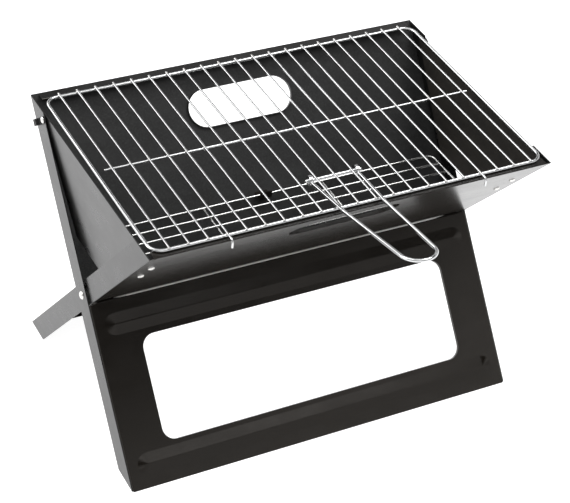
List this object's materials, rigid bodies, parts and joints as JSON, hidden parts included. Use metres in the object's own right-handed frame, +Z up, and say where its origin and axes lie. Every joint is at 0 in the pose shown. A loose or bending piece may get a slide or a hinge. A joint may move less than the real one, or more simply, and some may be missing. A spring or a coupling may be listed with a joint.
{
  "type": "folding camp grill",
  "caption": "Folding camp grill: two crossed black sheet-metal frames form a V trough on slanted legs, with a lift-off wire cooking grate, swing handle, charcoal grate and side plates.",
  "frame": {"origin": "centre of the object's footprint box, on the ground", "axes": "+Z up, -Y towards the front (the side with the big leg window, the slotted wall and the handle), X along the grill's width"},
  "size_m": [0.46, 0.4098, 0.3297],
  "materials": {
    "painted": "satin black enamel",
    "lug": "matt black",
    "rivet": "bright",
    "wire": "polished plating"
  },
  "bodies": {
    "outer_frame": {"back_wall": "painted", "front_leg_panel": "painted", "outer_rail_left": "painted", "outer_rail_right": "painted", "catch_lug_left": "lug", "catch_lug_right": "lug", "catch_rivets": "rivet", "pivot_rivets": "rivet", "pivot_washers": "rivet", "back_grate_tab": "painted"},
    "inner_frame": {"front_wall": "painted", "rear_leg_panel": "painted", "inner_rail_left": "painted", "inner_rail_right": "painted", "front_guide_left": "painted", "front_guide_right": "painted", "front_guide_rivets": "rivet", "front_grate_tabs": "painted"},
    "left_plate": {"side_plate_left": "painted"},
    "right_plate": {"side_plate_right": "painted"},
    "charcoal_grate": {"coal_grate_frame": "wire", "coal_grate_long_wires": "wire", "coal_grate_cross_wires": "wire"},
    "cooking_grate": {"cooking_grate_frame": "wire", "cooking_grate_bars": "wire", "hooked_bars": "wire", "grate_middle_bar": "wire", "handle_hinge_bar": "wire"},
    "handle": {"grate_handle": "wire"}
  },
  "joints": [
    {"name": "case_fold", "type": "hinge", "parent": "outer_frame", "child": "inner_frame", "pos_m": [0, 0.05947, 0.149], "axis": [-1, 0, 0], "range_deg": [0, 80]},
    {"name": "left_plate_out", "type": "slide", "parent": "outer_frame", "child": "left_plate", "axis": [0, 0.6428, 0.766], "range_m": [0, 0.336]},
    {"name": "right_plate_out", "type": "slide", "parent": "outer_frame", "child": "right_plate", "axis": [0, 0.6428, 0.766], "range_m": [0, 0.336]},
    {"name": "charcoal_grate_out", "type": "slide", "parent": "outer_frame", "child": "charcoal_grate", "axis": [0, 0.6428, 0.766], "range_m": [0, 0.336]},
    {"name": "cooking_grate_lift", "type": "slide", "parent": "charcoal_grate", "child": "cooking_grate", "axis": [0, 0, 1], "range_m": [0, 0.12]},
    {"name": "handle_swing", "type": "hinge", "parent": "cooking_grate", "child": "handle", "pos_m": [0, -0.02803, 0.3028], "axis": [-1, 0, 0], "range_deg": [0, 165]}
  ],
  "couplings": [
    {"joint": "left_plate_out", "follows": "case_fold", "m_per_rad": 0.24},
    {"joint": "right_plate_out", "follows": "case_fold", "m_per_rad": 0.24},
    {"joint": "charcoal_grate_out", "follows": "case_fold", "m_per_rad": 0.24}
  ]
}
